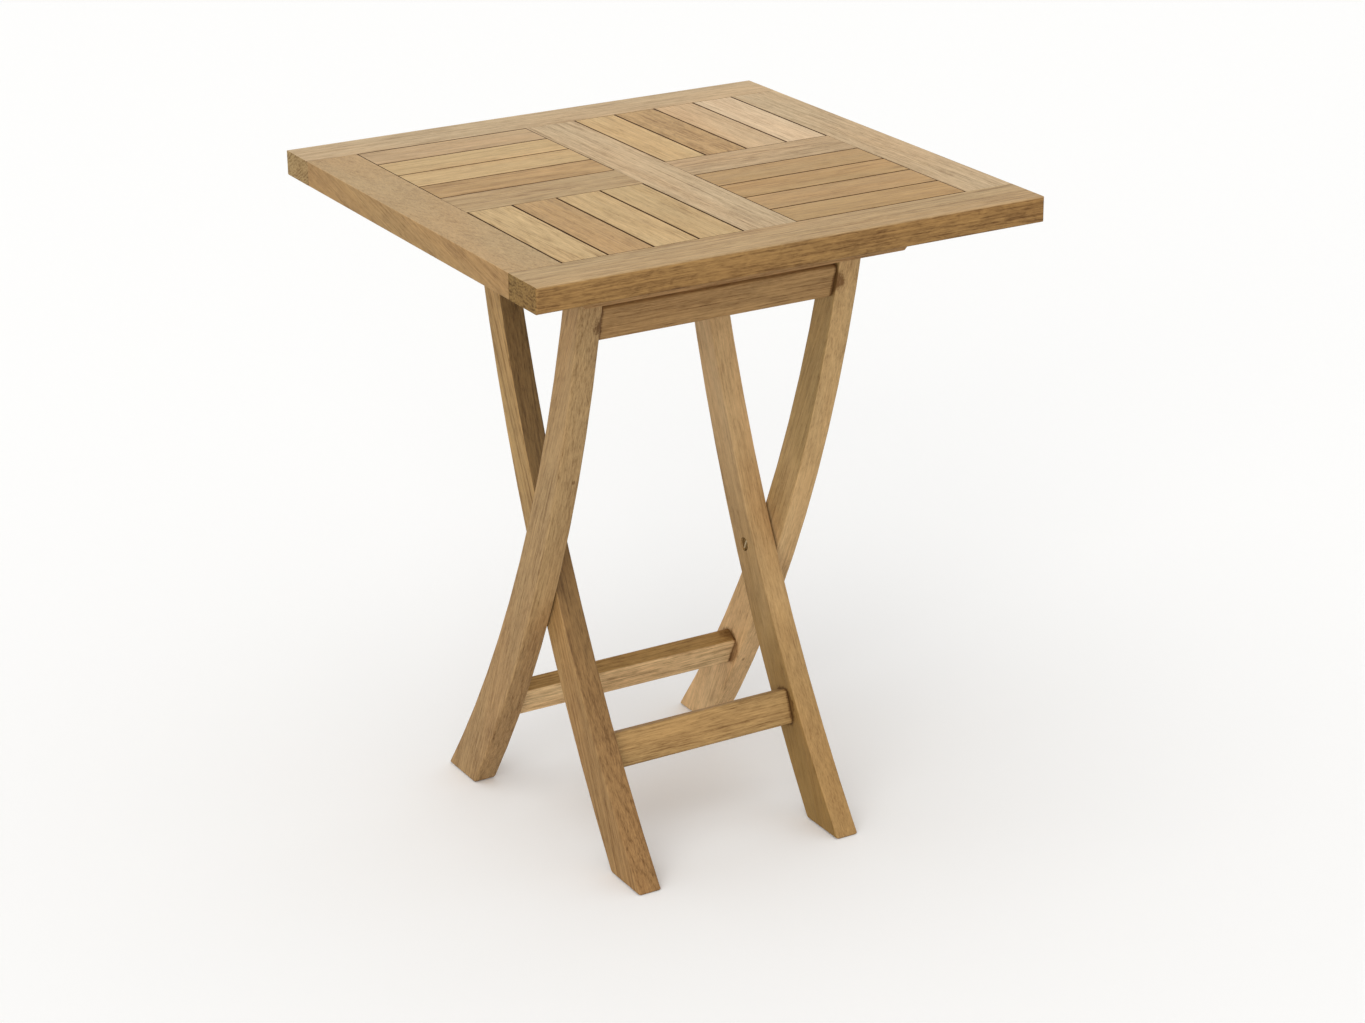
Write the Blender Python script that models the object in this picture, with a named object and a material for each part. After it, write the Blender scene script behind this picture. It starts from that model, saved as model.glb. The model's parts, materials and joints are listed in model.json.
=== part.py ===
"""Folding teak picnic table: a square slatted top on a scissor pair of curved leg frames.

Metres, +Z up. X runs along the front edge, Y from front to back, and the floor is Z = 0
under the centre of the top. The inner leg frame stands still. The outer leg frame swings
about the scissor pivot, and the top tips up about the hinge rail at the back.
"""
from math import atan2, cos, pi, radians, sin, sqrt

import bmesh
import bpy
from mathutils import Matrix, Vector

# ---- driving dimensions -------------------------------------------------------------
TOP_SIDE = 0.600
TABLE_HEIGHT = 0.750
TOP_THICKNESS = 0.028
FRAME_WIDTH = 0.059
CENTRE_WIDTH = 0.0615
SLATS_PER_PANEL = 4
SLAT_GAP = 0.0018
SLAT_END_GAP = 0.0011
JOINT_GAP = 0.0003
EDGE_ROUND = 0.0010
CORNER_ROUND = 0.0030
SLAT_ARRIS = 0.0006

TONGUE_THICKNESS = 0.008
TONGUE_LENGTH = 0.007
TENON_LENGTH = 0.022
TENON_SHOULDER = 0.009

LEG_THICKNESS = 0.0285
LEG_RADIUS = 1.850
LEG_WIDTH_AT_PIVOT = 0.0455
LEG_TAPER = 0.0245
LEG_ARRIS = 0.0030
LEG_STEPS = 12
HINGE_END_STEPS = 12
FOOT_ROUND = 0.004
INNER_LEG_CENTRE = 0.1283
OUTER_LEG_CENTRE = 0.1585
PIVOT = Vector((0.0, 0.004, 0.2915))
OUTER_LEAN = radians(25.7)
INNER_LEAN = radians(24.9)
OUTER_LEG_REACH = 0.4275
OUTER_TOP_CUT = 0.10
HINGE_HEIGHT = 0.6995

RAIL_THICKNESS = 0.0225
RAIL_HEIGHT = 0.040
RAIL_ARRIS = 0.0030
LEG_TENON_THICKNESS = 0.010
LEG_TENON_HEIGHT = 0.028
LEG_TENON_LENGTH = 0.018
# each leg rail's centre (y, z) and the lean of its section
OUTER_TOP_RAIL = ((-0.1255, 0.6425), radians(17))
OUTER_BOTTOM_RAIL = ((0.0915, 0.1245), radians(28))
INNER_TOP_RAIL = ((0.1290, 0.6320), radians(-17))
INNER_BOTTOM_RAIL = ((-0.0865, 0.1230), radians(-22))

CATCH_FRONT = -0.198
CATCH_WIDTH = 0.088
CATCH_DROP = 0.0395
CATCH_HALF_LENGTH = 0.196
CATCH_CHAMFER = (0.003, 0.003)
CATCH_CLEARANCE = 0.0012
HINGE_RAIL_WIDTH = 0.040
HINGE_RAIL_DROP = 0.040
HINGE_RAIL_ROUND = 0.006

BOLT_RADIUS = 0.004
HEAD_RADIUS = 0.0078
HEAD_THICKNESS = 0.0036
HEAD_SINK = 0.0052
INSERT_RADIUS = 0.0055
INSERT_LENGTH = 0.018
BOLT_END_GAP = 0.002
WASHER_RADIUS = 0.012
SLOT_WIDTH = 0.0016
SLOT_DEPTH = 0.0014
SCISSOR_SLOT_TURN = radians(35)
HINGE_SLOT_TURN = radians(20)
SCREW_RADIUS = 0.0022
SCREW_HEAD_RADIUS = 0.0044
SCREW_LENGTH = 0.054
SCREW_SINK = 0.0005
# how far out the outer and the inner screws are, and their y
CATCH_SCREWS = (0.162, 0.058, -0.170)
HINGE_SCREWS = (0.070, 0.018, 0.1465)
BORE_GAP = 0.0003
OVERSHOOT = 0.004
ROUND_STEPS = 24
SHARP_ANGLE = radians(35)

# ---- sizes that follow --------------------------------------------------------------
HALF = TOP_SIDE / 2
TOP_Z = TABLE_HEIGHT
UNDERSIDE = TABLE_HEIGHT - TOP_THICKNESS
MID_Z = TABLE_HEIGHT - TOP_THICKNESS / 2
INNER_EDGE = HALF - FRAME_WIDTH
CENTRE_HALF = CENTRE_WIDTH / 2
INNER_FACE = INNER_LEG_CENTRE - LEG_THICKNESS / 2
LEG_SPACE = OUTER_LEG_CENTRE - INNER_LEG_CENTRE - LEG_THICKNESS
OUTER_LEG_FACE = OUTER_LEG_CENTRE - LEG_THICKNESS / 2
COUNTERSINK_GAP = BORE_GAP * 1.5
COUNTERSINK_RUNOUT = SCREW_SINK * 3
SCREW_SLOT_HALF_SIZE = (SLOT_DEPTH / 2, SLOT_WIDTH / 3, SCREW_HEAD_RADIUS * 1.5)

# ---- tests and searches -------------------------------------------------------------
SAME_PLACE = 1e-6
WELD_DISTANCE = 0.00002
FACES_OUTWARD = 0.05
LONG_EDGE = 0.1
LOWEST_REACH, HIGHEST_REACH = -0.5, 0.6
HALVINGS = 40

TEAK_ROUGHNESS = 0.62
STEEL_COLOUR = (0.55, 0.53, 0.50)
STEEL_ROUGHNESS = 0.35
TEAK_TONES = {
    "honey": (0.46, 0.30, 0.15),
    "light": (0.56, 0.40, 0.23),
    "brown": (0.36, 0.22, 0.10),
    "grey": (0.40, 0.30, 0.18),
    "rose": (0.52, 0.35, 0.22),
}


# ---- scene helpers ------------------------------------------------------------------
def clear_scene():
    for obj in list(bpy.data.objects):
        bpy.data.objects.remove(obj, do_unlink=True)


def new_collection(name):
    group = bpy.data.collections.new(name)
    bpy.context.scene.collection.children.link(group)
    return group


def new_material(name, colour, roughness, metallic=0.0):
    material = bpy.data.materials.new(name)
    material.use_nodes = True
    shader = material.node_tree.nodes["Principled BSDF"]
    shader.inputs["Base Color"].default_value = (*colour, 1.0)
    shader.inputs["Roughness"].default_value = roughness
    shader.inputs["Metallic"].default_value = metallic
    material.diffuse_color = (*colour, 1.0)
    return material


def new_object(name, mesh, group, material=None):
    obj = bpy.data.objects.new(name, mesh)
    group.objects.link(obj)
    if material is not None:
        mesh.materials.append(material)
    return obj


def wood(name, tone):
    return new_material(name + "_teak", TEAK_TONES[tone], TEAK_ROUGHNESS)


def metal(name):
    return new_material(name + "_steel", STEEL_COLOUR, STEEL_ROUGHNESS, 1.0)


def as_cutter(obj):
    obj.hide_render = True
    obj.display_type = "WIRE"
    return obj


def round_edges(bm, edges, radius, segments):
    if edges and radius > 0.0:
        bmesh.ops.bevel(bm, geom=edges, offset=radius, segments=segments, profile=0.5,
                        affect="EDGES", clamp_overlap=True)


def box_mesh(name, low, high, rounding=()):
    """A box between two corners. rounding lists (edge test, radius, segments) in turn."""
    bm = bmesh.new()
    bmesh.ops.create_cube(bm, size=1.0)
    low, high = Vector(low), Vector(high)
    for vert in bm.verts:
        vert.co = Vector(low[i] if vert.co[i] < 0 else high[i] for i in range(3))
    for test, radius, segments in rounding:
        round_edges(bm, [edge for edge in bm.edges if test(edge)], radius, segments)
    mesh = bpy.data.meshes.new(name)
    bm.to_mesh(mesh)
    bm.free()
    return mesh


def cylinder_mesh(name, radius, start, end, radius_end=None):
    """A closed cylinder or cone along X from start to end, centred on the X axis."""
    bm = bmesh.new()
    bmesh.ops.create_cone(bm, cap_ends=True, segments=ROUND_STEPS, radius1=radius,
                          radius2=radius if radius_end is None else radius_end,
                          depth=abs(end - start))
    turn = Matrix.Rotation(pi / 2 if end > start else -pi / 2, 4, "Y")
    bmesh.ops.transform(bm, matrix=Matrix.Translation(((start + end) / 2, 0, 0)) @ turn,
                        verts=bm.verts)
    mesh = bpy.data.meshes.new(name)
    bm.to_mesh(mesh)
    bm.free()
    return mesh


def outline_object(name, points, thickness, group, arris=0.0, along="X"):
    """A flat outline given in the other two axes and thickened along X or Y, as a mesh."""
    curve = bpy.data.curves.new(name, "CURVE")
    curve.dimensions = "2D"
    curve.fill_mode = "BOTH"
    curve.extrude = thickness / 2 - arris
    curve.bevel_depth = arris
    curve.bevel_resolution = 1
    curve.offset = -arris
    spline = curve.splines.new("POLY")
    spline.points.add(len(points) - 1)
    for point, (u, v) in zip(spline.points, points):
        point.co = (u, v, 0.0, 1.0)
    spline.use_cyclic_u = True
    drawn = bpy.data.objects.new(name + "_curve", curve)
    drawn.rotation_euler = (pi / 2, 0.0, pi / 2) if along == "X" else (pi / 2, 0.0, 0.0)
    group.objects.link(drawn)
    bpy.context.view_layer.update()
    evaluated = drawn.evaluated_get(bpy.context.evaluated_depsgraph_get())
    mesh = bpy.data.meshes.new_from_object(evaluated)
    mesh.transform(drawn.matrix_world)
    mesh.name = name
    bm = bmesh.new()
    bm.from_mesh(mesh)
    bmesh.ops.remove_doubles(bm, verts=bm.verts, dist=WELD_DISTANCE)
    bmesh.ops.recalc_face_normals(bm, faces=bm.faces)
    bm.to_mesh(mesh)
    bm.free()
    bpy.data.objects.remove(drawn, do_unlink=True)
    return new_object(name, mesh, group)


def combine(obj, other, operation):
    modifier = obj.modifiers.new(operation.lower(), "BOOLEAN")
    modifier.operation = operation
    modifier.object = other
    modifier.solver = "EXACT"


def cut(obj, other):
    combine(obj, other, "DIFFERENCE")


def join(obj, other):
    combine(obj, other, "UNION")


def smooth_round(obj):
    obj.data.shade_smooth()
    obj.data.set_sharp_from_angle(angle=SHARP_ANGLE)


def cutter_box(name, low, high):
    return as_cutter(new_object(name, box_mesh(name, low, high), CUTTERS))


def cutter_cylinder(name, radius, start, end, at, radius_end=None):
    mesh = cylinder_mesh(name, radius, start, end, radius_end)
    obj = as_cutter(new_object(name, mesh, CUTTERS))
    obj.location = at
    return obj


# ---- leg geometry -------------------------------------------------------------------
def leg_point(lean, side, reach, across=0.0):
    """A point (y, z) on a leg, at an arc length above the pivot and a distance across.

    side is -1 where the leg's top leans to the front and +1 where it leans to the back.
    across is positive on the leg's hollow side, which faces away from that lean.
    """
    angle = lean - reach / LEG_RADIUS
    base = LEG_RADIUS * sin(lean), LEG_RADIUS * cos(lean)
    out = (LEG_RADIUS - across) * cos(angle) - base[1]
    up = base[0] - (LEG_RADIUS - across) * sin(angle)
    return PIVOT.y + side * out, PIVOT.z + up


def leg_half_width(reach):
    return (LEG_WIDTH_AT_PIVOT - LEG_TAPER * reach) / 2


def reach_at_height(lean, side, height, edge):
    """Arc length where one edge of a leg (-1, 0 or 1) crosses a height, by halving."""
    low, high = LOWEST_REACH, HIGHEST_REACH
    for _ in range(HALVINGS):
        middle = (low + high) / 2
        _, z = leg_point(lean, side, middle, edge * leg_half_width(middle))
        if z < height:
            low = middle
        else:
            high = middle
    return (low + high) / 2


def leg_edge(lean, side, edge, start, end):
    reaches = [start + (end - start) * i / LEG_STEPS for i in range(LEG_STEPS + 1)]
    return [leg_point(lean, side, r, edge * leg_half_width(r)) for r in reaches]


def foot_corner(lean, side, edge):
    return reach_at_height(lean, side, 0.0, edge)


def eased(outline, index):
    """The outline with one corner, at index 0 or -1, replaced by a short curve."""
    corner, before, after = (Vector(outline[i]) for i in (index, index - 1, index + 1))
    start = corner + (before - corner).normalized() * FOOT_ROUND
    end = corner + (after - corner).normalized() * FOOT_ROUND
    curve = []
    for share in (0.0, 1 / 3, 2 / 3, 1.0):
        curve.append(tuple(start.lerp(corner, share).lerp(corner.lerp(end, share), share)))
    return curve + outline[1:] if index == 0 else outline[:-1] + curve


def outer_leg_outline():
    """Square-cut top, at right angles to the line from the pivot."""
    half = leg_half_width(OUTER_LEG_REACH)
    top = OUTER_LEG_REACH - half * OUTER_TOP_CUT
    front = leg_edge(OUTER_LEAN, -1, -1, foot_corner(OUTER_LEAN, -1, -1), top)
    back = leg_edge(OUTER_LEAN, -1, 1, foot_corner(OUTER_LEAN, -1, 1), top)
    chord, distance = outer_top_line()
    corners = []
    for points in (front, back):
        (y0, z0), (y1, z1) = points[-2], points[-1]
        direction = Vector((y1 - y0, z1 - z0)).normalized()
        start = Vector((y1, z1))
        normal = Vector((-sin(chord), cos(chord)))
        gap = distance - (start - Vector((PIVOT.y, PIVOT.z))).dot(normal)
        corners.append(start + direction * (gap / direction.dot(normal)))
    return front[:-1] + [tuple(corners[0]), tuple(corners[1])] + back[:-1][::-1]


def outer_top_line():
    """Lean of the line from the pivot to an outer leg's top, and its length."""
    y, z = leg_point(OUTER_LEAN, -1, OUTER_LEG_REACH)
    return atan2(PIVOT.y - y, z - PIVOT.z), sqrt((PIVOT.y - y) ** 2 + (z - PIVOT.z) ** 2)


def hinge_point():
    y, z = leg_point(INNER_LEAN, 1, reach_at_height(INNER_LEAN, 1, HINGE_HEIGHT, 0))
    return Vector((0.0, y, z))


def inner_leg_outline():
    """Top rounded about the hinge bolt."""
    top = reach_at_height(INNER_LEAN, 1, HINGE_HEIGHT, 0)
    back = leg_edge(INNER_LEAN, 1, -1, foot_corner(INNER_LEAN, 1, -1), top)
    front = leg_edge(INNER_LEAN, 1, 1, foot_corner(INNER_LEAN, 1, 1), top)
    hinge = hinge_point()
    centre = Vector((hinge.y, hinge.z))
    spoke = Vector(back[-1]) - centre
    cap = []
    for i in range(1, HINGE_END_STEPS):
        turned = Matrix.Rotation(pi * i / HINGE_END_STEPS, 2) @ spoke
        cap.append(tuple(centre + turned))
    return back + cap + front[::-1]


# ---- the top ------------------------------------------------------------------------
def is_corner(edge):
    """An upright edge at one of the whole top's four corners."""
    return all(abs(abs(vert.co[axis]) - HALF) < SAME_PLACE for vert in edge.verts for axis in (0, 1))


def rim_rounding(axes):
    """Rounds the table's upright corners first, then the rim's top and bottom edges."""
    return [(is_corner, CORNER_ROUND, 3),
            (lambda edge: is_rim(edge, axes), EDGE_ROUND, 2)]


def is_rim(edge, axes):
    """Top or bottom edges whose side face looks out of the table."""
    a, b = (vert.co for vert in edge.verts)
    if abs(a.z - b.z) > SAME_PLACE:
        return False
    normals = [face.normal for face in edge.link_faces]
    for axis, sign in axes:
        if any(normal[axis] * sign > FACES_OUTWARD for normal in normals):
            return True
    return False


def top_board(name, low, high, tone, rounding=()):
    mesh = box_mesh(name, (*low, UNDERSIDE), (*high, TOP_Z), rounding)
    obj = new_object(name, mesh, PARTS, wood(name, tone))
    attach(obj, TILT_AXIS)
    return obj


def add_tongue(board, name, low, high, thickness=TONGUE_THICKNESS):
    half = thickness / 2
    join(board, cutter_box(name, (*low, MID_Z - half), (*high, MID_Z + half)))


def add_groove(board, name, low, high, thickness=TONGUE_THICKNESS):
    half = thickness / 2 + JOINT_GAP
    cut(board, cutter_box(name, (*low, MID_Z - half), (*high, MID_Z + half)))


def tenoned(board, low, high, axis, ends):
    """Adds a tenon at the chosen ends (-1 or 1) of a board that runs along an axis."""
    across = 1 - axis
    for end in ends:
        a, b = [0.0, 0.0], [0.0, 0.0]
        face = high[axis] if end > 0 else low[axis]
        inside, outside = face - end * OVERSHOOT, face + end * TENON_LENGTH
        a[axis], b[axis] = min(inside, outside), max(inside, outside)
        a[across], b[across] = low[across] + TENON_SHOULDER, high[across] - TENON_SHOULDER
        add_tongue(board, f"{board.name}_tenon_{'end' if end > 0 else 'start'}", a, b)


def mortised(board, name, low, high, axis, end):
    """Cuts the mortise for the tenon at one end of the board between low and high."""
    across = 1 - axis
    a, b = [0.0, 0.0], [0.0, 0.0]
    face = high[axis] if end > 0 else low[axis]
    inside, outside = face - end * OVERSHOOT, face + end * (TENON_LENGTH + JOINT_GAP)
    a[axis], b[axis] = min(inside, outside), max(inside, outside)
    a[across] = low[across] + TENON_SHOULDER - JOINT_GAP
    b[across] = high[across] - TENON_SHOULDER + JOINT_GAP
    add_groove(board, name, a, b)


def grooved(board, name, axis, face, sign, start, end):
    """Cuts a slat groove into the face at x or y = face, whose normal is sign."""
    depth = TONGUE_LENGTH + JOINT_GAP
    a, b = [0.0, 0.0], [0.0, 0.0]
    a[axis] = min(face + sign * OVERSHOOT, face - sign * depth)
    b[axis] = max(face + sign * OVERSHOOT, face - sign * depth)
    a[1 - axis], b[1 - axis] = start, end
    add_groove(board, name, a, b)


def build_top_frame():
    edge, centre = INNER_EDGE, CENTRE_HALF
    gap = JOINT_GAP
    sizes = {
        "left_stile": ((-HALF, -edge + gap), (-edge, edge - gap)),
        "right_stile": ((edge, -edge + gap), (HALF, edge - gap)),
        "centre_stile": ((-centre, -edge + gap), (centre, edge - gap)),
        "left_middle_rail": ((-edge + gap, -centre), (-centre - gap, centre)),
        "right_middle_rail": ((centre + gap, -centre), (edge - gap, centre)),
    }
    front_sides, back_sides = [(1, -1), (0, -1), (0, 1)], [(1, 1), (0, -1), (0, 1)]
    front = top_board("front_rail", (-HALF, -HALF), (HALF, -edge), "honey",
                      rim_rounding(front_sides))
    back = top_board("back_rail", (-HALF, edge), (HALF, HALF), "honey",
                     rim_rounding(back_sides))
    left = top_board("left_stile", *sizes["left_stile"], "rose", rim_rounding([(0, -1)]))
    right = top_board("right_stile", *sizes["right_stile"], "honey", rim_rounding([(0, 1)]))
    middle = top_board("centre_stile", *sizes["centre_stile"], "rose")
    left_rail = top_board("left_middle_rail", *sizes["left_middle_rail"], "grey")
    right_rail = top_board("right_middle_rail", *sizes["right_middle_rail"], "grey")

    for board, key in ((left, "left_stile"), (right, "right_stile"), (middle, "centre_stile")):
        tenoned(board, *sizes[key], 1, (-1, 1))
        mortised(front, key + "_front_mortise", *sizes[key], 1, -1)
        mortised(back, key + "_back_mortise", *sizes[key], 1, 1)
    for board, key, stile in ((left_rail, "left_middle_rail", left),
                              (right_rail, "right_middle_rail", right)):
        tenoned(board, *sizes[key], 0, (-1, 1))
        outward = -1 if stile is left else 1
        mortised(stile, key + "_stile_mortise", *sizes[key], 0, outward)
        mortised(middle, key + "_centre_mortise", *sizes[key], 0, -outward)

    grooved(front, "front_groove", 1, -edge, 1, -edge + SLAT_GAP, -centre - SLAT_GAP)
    grooved(back, "back_groove", 1, edge, -1, centre + SLAT_GAP, edge - SLAT_GAP)
    grooved(left_rail, "left_rail_groove", 1, -centre, -1, -edge + SLAT_GAP, -centre - SLAT_GAP)
    grooved(right_rail, "right_rail_groove", 1, centre, 1, centre + SLAT_GAP, edge - SLAT_GAP)
    grooved(left, "left_groove", 0, -edge, 1, centre + SLAT_GAP, edge - SLAT_GAP)
    grooved(right, "right_groove", 0, edge, -1, -edge + SLAT_GAP, -centre - SLAT_GAP)
    grooved(middle, "centre_left_groove", 0, -centre, -1, centre + SLAT_GAP, edge - SLAT_GAP)
    grooved(middle, "centre_right_groove", 0, centre, 1, -edge + SLAT_GAP, -centre - SLAT_GAP)
    return middle


def is_long_top_edge(axis):
    def test(edge):
        a, b = (vert.co for vert in edge.verts)
        return abs(a[axis] - b[axis]) > LONG_EDGE and min(a.z, b.z) > MID_Z
    return test


def build_slats(panel, x_side, y_side, axis, tones):
    """Four slats with end tongues, filling the panel on the given side of the centre.

    axis is the direction that the slats run in: 0 for X and 1 for Y.
    """
    start, end = CENTRE_HALF, INNER_EDGE
    x_range = (start, end) if x_side > 0 else (-end, -start)
    y_range = (start, end) if y_side > 0 else (-end, -start)
    along, across = (x_range, y_range) if axis == 0 else (y_range, x_range)
    width = (across[1] - across[0] - SLAT_GAP * (SLATS_PER_PANEL + 1)) / SLATS_PER_PANEL
    slats = []
    for i in range(SLATS_PER_PANEL):
        first = across[0] + SLAT_GAP + i * (width + SLAT_GAP)
        low, high = [0.0, 0.0], [0.0, 0.0]
        low[axis], high[axis] = along[0] + SLAT_END_GAP, along[1] - SLAT_END_GAP
        low[1 - axis], high[1 - axis] = first, first + width
        name = f"slat_{panel}_{i + 1}"
        slat = top_board(name, low, high, tones[i], [(is_long_top_edge(axis), SLAT_ARRIS, 1)])
        tongue_low, tongue_high = list(low), list(high)
        tongue_low[axis] = along[0] - TONGUE_LENGTH
        tongue_high[axis] = along[1] + TONGUE_LENGTH
        tongue_low[1 - axis] += SLAT_GAP
        tongue_high[1 - axis] -= SLAT_GAP
        add_tongue(slat, name + "_tongue", tongue_low, tongue_high)
        slats.append(slat)
    return slats


def build_catch_rail():
    """Stop and seat for the outer legs' tops: a wide rail with a rabbet along its back."""
    bottom, top = UNDERSIDE - CATCH_DROP, UNDERSIDE - JOINT_GAP
    length, (run, rise) = CATCH_HALF_LENGTH, CATCH_CHAMFER
    outline = [(-length, bottom + rise), (-length + run, bottom), (length - run, bottom),
               (length, bottom + rise), (length, top), (-length, top)]
    rail = outline_object("catch_rail", outline, CATCH_WIDTH, PARTS, along="Y")
    rail.data.transform(Matrix.Translation((0, CATCH_FRONT + CATCH_WIDTH / 2, 0)))
    rail.data.materials.append(wood("catch_rail", "brown"))
    attach(rail, TILT_AXIS)

    chord, distance = outer_top_line()
    seat = distance + CATCH_CLEARANCE
    front_corner = outer_leg_outline()[LEG_STEPS]
    stop = front_corner[0] - CATCH_CLEARANCE / 2
    far = CATCH_FRONT + CATCH_WIDTH + OVERSHOOT

    def seat_height(y):
        return PIVOT.z + (seat + (y - PIVOT.y) * sin(chord)) / cos(chord)

    low = bottom - OVERSHOOT
    rabbet = outline_object("catch_rabbet", [(stop, low), (far, low), (far, seat_height(far)),
                                             (stop, seat_height(stop))],
                            2 * (length + OVERSHOOT), CUTTERS)
    cut(rail, as_cutter(rabbet))
    return rail


def build_hinge_rail():
    hinge = hinge_point()
    half = HINGE_RAIL_WIDTH / 2
    end = INNER_FACE - LEG_SPACE
    low = (-end, hinge.y - half, UNDERSIDE - HINGE_RAIL_DROP)
    high = (end, hinge.y + half, UNDERSIDE - JOINT_GAP)

    def lower_long_edge(edge):
        a, b = (vert.co for vert in edge.verts)
        return abs(a.x - b.x) > end and max(a.z, b.z) < HINGE_HEIGHT

    mesh = box_mesh("hinge_rail", low, high, [(lower_long_edge, HINGE_RAIL_ROUND, 3)])
    rail = new_object("hinge_rail", mesh, PARTS, wood("hinge_rail", "brown"))
    attach(rail, TILT_AXIS)
    return rail


# ---- leg frames ---------------------------------------------------------------------
def build_leg(name, outline, centre_x, tone, parent):
    """A curved leg. Its outline starts and ends at the two corners of its foot."""
    outline = eased(eased(outline, -1), 0)
    leg = outline_object(name, outline, LEG_THICKNESS, PARTS, LEG_ARRIS)
    leg.data.transform(Matrix.Translation((centre_x, 0.0, 0.0)))
    leg.data.materials.append(wood(name, tone))
    if parent is not None:
        attach(leg, parent)
    return leg


def frame_rail(name, centre, tilt, half_length, tone, parent, legs):
    """A rail between two legs, its section tilted, with a tenon into each leg."""
    def is_long(edge):
        a, b = (vert.co for vert in edge.verts)
        return abs(a.x - b.x) > half_length

    half = Vector((half_length - JOINT_GAP, RAIL_THICKNESS / 2, RAIL_HEIGHT / 2))
    mesh = box_mesh(name, -half, half, [(is_long, RAIL_ARRIS, 2)])
    rail = new_object(name, mesh, PARTS, wood(name, tone))
    place = Matrix.Translation((0.0, *centre)) @ Matrix.Rotation(tilt, 4, "X")
    tenon_half = Vector((half_length + LEG_TENON_LENGTH, LEG_TENON_THICKNESS / 2,
                         LEG_TENON_HEIGHT / 2))
    tenon = cutter_box(name + "_tenon", -tenon_half, tenon_half)
    room = Vector((JOINT_GAP,) * 3)
    mortise = cutter_box(name + "_mortise", -tenon_half - room, tenon_half + room)
    for obj in (rail, tenon, mortise):
        obj.data.transform(place)
    join(rail, tenon)
    for leg in legs:
        cut(leg, mortise)
    if parent is not None:
        attach(rail, parent)
    return rail


# ---- hardware -----------------------------------------------------------------------
def slotted(obj, name, face_x, at, turn):
    """A screwdriver slot across a head whose face is at face_x."""
    half = Vector((SLOT_DEPTH, SLOT_WIDTH / 2, HEAD_RADIUS * 2))
    slot = cutter_box(name, -half, half)
    slot.data.transform(Matrix.Rotation(turn, 4, "X"))
    slot.location = (face_x, at.y, at.z)
    cut(obj, slot)


def turned_piece(name, at, body_of):
    """A metal piece from cylinders (radius, start, end): a body, then others with their use."""
    first = body_of[0]
    obj = new_object(name, cylinder_mesh(name, *first), PARTS, metal(name))
    obj.location = at
    for i, (kind, *shape) in enumerate(body_of[1:]):
        other = cutter_cylinder(f"{name}_{kind.lower()}_{i}", *shape, at)
        combine(obj, other, kind)
    smooth_round(obj)
    return obj


def bored(board, name, radius, start, end, at, radius_end=None):
    cut(board, cutter_cylinder(name, radius, start, end, at, radius_end))


def build_pivot(name, at, head_side, insert_side, head_board, insert_board, turn):
    """A slotted bolt through one board, a washer and a threaded insert in the next board.

    head_side and insert_side are the x of the two boards' facing sides, and the bolt runs
    from the first board towards the second.
    """
    way = 1 if insert_side > head_side else -1
    sunk = head_side - way * (LEG_THICKNESS - HEAD_SINK)
    head = sunk - way * HEAD_THICKNESS
    insert_start = insert_side + way * JOINT_GAP
    insert_end = insert_side + way * INSERT_LENGTH
    tip = insert_end - way * BOLT_END_GAP
    bolt = turned_piece(name.format("bolt"), at, [
        (HEAD_RADIUS, head, sunk),
        ("UNION", BOLT_RADIUS, sunk - way * HEAD_THICKNESS / 2, tip),
    ])
    slotted(bolt, name.format("bolt") + "_slot", head, at, turn)
    bore = BOLT_RADIUS + BORE_GAP
    insert = turned_piece(name.format("insert"), at, [
        (INSERT_RADIUS, insert_start, insert_end),
        ("DIFFERENCE", bore, insert_start - way * OVERSHOOT, insert_end + way * OVERSHOOT),
    ])
    washer = turned_piece(name.format("washer"), at, [
        (WASHER_RADIUS, head_side + way * JOINT_GAP, insert_side - way * JOINT_GAP),
        ("DIFFERENCE", bore, head_side - way * OVERSHOOT, insert_side + way * OVERSHOOT),
    ])
    face = head_side - way * LEG_THICKNESS
    bored(head_board, name.format("head_sink"), HEAD_RADIUS + BORE_GAP, face - way * OVERSHOOT,
          sunk + way * BORE_GAP, at)
    bored(head_board, name.format("bore"), bore, face, head_side + way * OVERSHOOT, at)
    bored(insert_board, name.format("insert_bore"), INSERT_RADIUS + BORE_GAP,
          insert_side - way * OVERSHOOT, insert_end + way * BORE_GAP, at)
    return bolt, insert, washer


def build_scissor_pivot(side, word, inner_leg, outer_leg):
    """The bolt goes in from the inner leg's inner face and turns with the outer leg."""
    start = side * (INNER_FACE + LEG_THICKNESS)
    bolt, insert, _ = build_pivot(f"scissor_{{}}_{word}", PIVOT, start, side * OUTER_LEG_FACE,
                                  inner_leg, outer_leg, side * SCISSOR_SLOT_TURN)
    attach(bolt, SCISSOR_AXIS)
    attach(insert, SCISSOR_AXIS)


def build_hinge_pivot(side, word, inner_leg, rail):
    """The bolt goes in from the inner leg's outer face and turns with the hinge rail."""
    pieces = build_pivot(f"hinge_{{}}_{word}", hinge_point(), side * INNER_FACE,
                         side * (INNER_FACE - LEG_SPACE), inner_leg, rail,
                         side * HINGE_SLOT_TURN)
    for obj in pieces:
        attach(obj, TILT_AXIS)


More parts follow.
